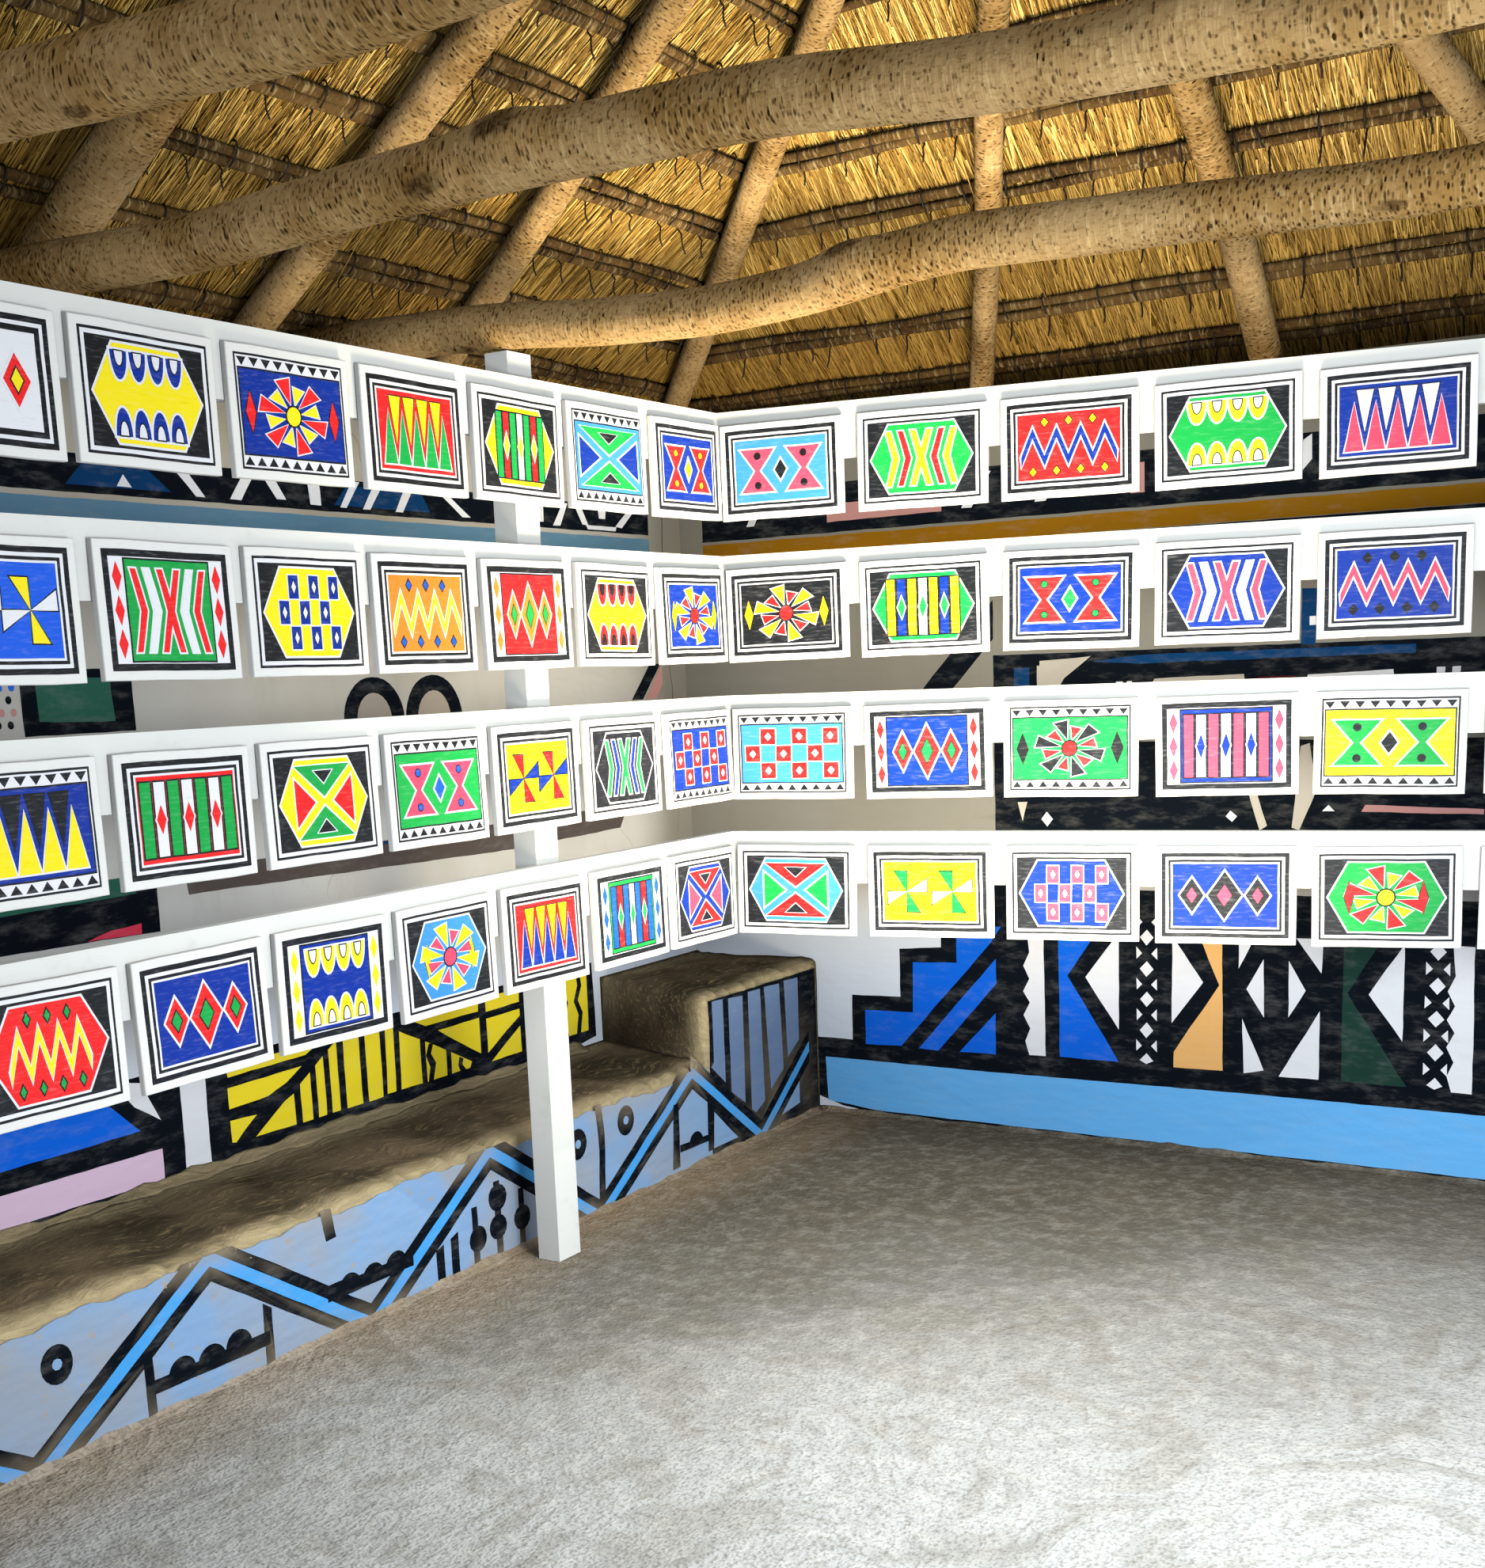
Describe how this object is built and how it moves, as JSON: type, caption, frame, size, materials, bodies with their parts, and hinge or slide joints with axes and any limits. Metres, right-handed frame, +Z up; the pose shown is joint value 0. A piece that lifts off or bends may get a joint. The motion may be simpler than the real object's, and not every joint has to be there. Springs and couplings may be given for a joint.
{
  "type": "thatched mud hut",
  "caption": "One-room mud hut with a hipped thatched pole roof, painted inside walls, a mud bench and a white rail rack hung with painted panels.",
  "frame": {"origin": "on the ground under the middle of the plan", "axes": "+X along the ridge towards the end wall with the rack, +Y from the doorway towards the wall with the bench, +Z up"},
  "size_m": [7.79, 5.8, 4.5504],
  "materials": {
    "mud_floor": "smeared mud and dung, matt, with sweeping arcs",
    "mud_wall": "limewashed mud plaster, matt, painted with geometric murals",
    "mud_bench": "bare and painted mud, worn at the edges",
    "lintel_wood": "rough sawn board",
    "bark_pole": "round poles with pale bark and dark flecks",
    "lath_wood": "thin round sticks tied with wire",
    "thatch": "golden grass, strands down the slope",
    "white_painted_wood": "white gloss paint, lightly scuffed",
    "painted_canvas": "white primed canvas with flat bright paint"
  },
  "bodies": {
    "root": {"floor": "mud_floor", "back_wall": "mud_wall", "east_wall": "mud_wall", "west_wall": "mud_wall", "front_wall_west": "mud_wall", "front_wall_east": "mud_wall", "front_wall_over_door": "mud_wall", "door_lintel": "lintel_wood", "bench": "mud_bench", "bench_end_block": "mud_bench", "tie_pole_1": "bark_pole", "tie_pole_2": "bark_pole", "tie_pole_3": "bark_pole", "tie_pole_4": "bark_pole", "ridge_pole": "bark_pole", "hip_rafters": "bark_pole", "rafters_back": "bark_pole", "rafters_front": "bark_pole", "rafters_east": "bark_pole", "rafters_west": "bark_pole", "laths_back": "lath_wood", "laths_front": "lath_wood", "laths_east": "lath_wood", "laths_west": "lath_wood", "thatch_back": "thatch", "thatch_front": "thatch", "thatch_east": "thatch", "thatch_west": "thatch", "ridge_cap": "thatch", "rack_post_1": "white_painted_wood", "rack_post_2": "white_painted_wood", "rack_post_3": "white_painted_wood", "rack_rails_back": "white_painted_wood", "rack_rails_end": "white_painted_wood", "panels_back_1": "painted_canvas", "panels_back_2": "painted_canvas", "panels_back_3": "painted_canvas", "panels_back_4": "painted_canvas", "panels_end_1": "painted_canvas", "panels_end_2": "painted_canvas", "panels_end_3": "painted_canvas", "panels_end_4": "painted_canvas"}
  },
  "joints": []
}
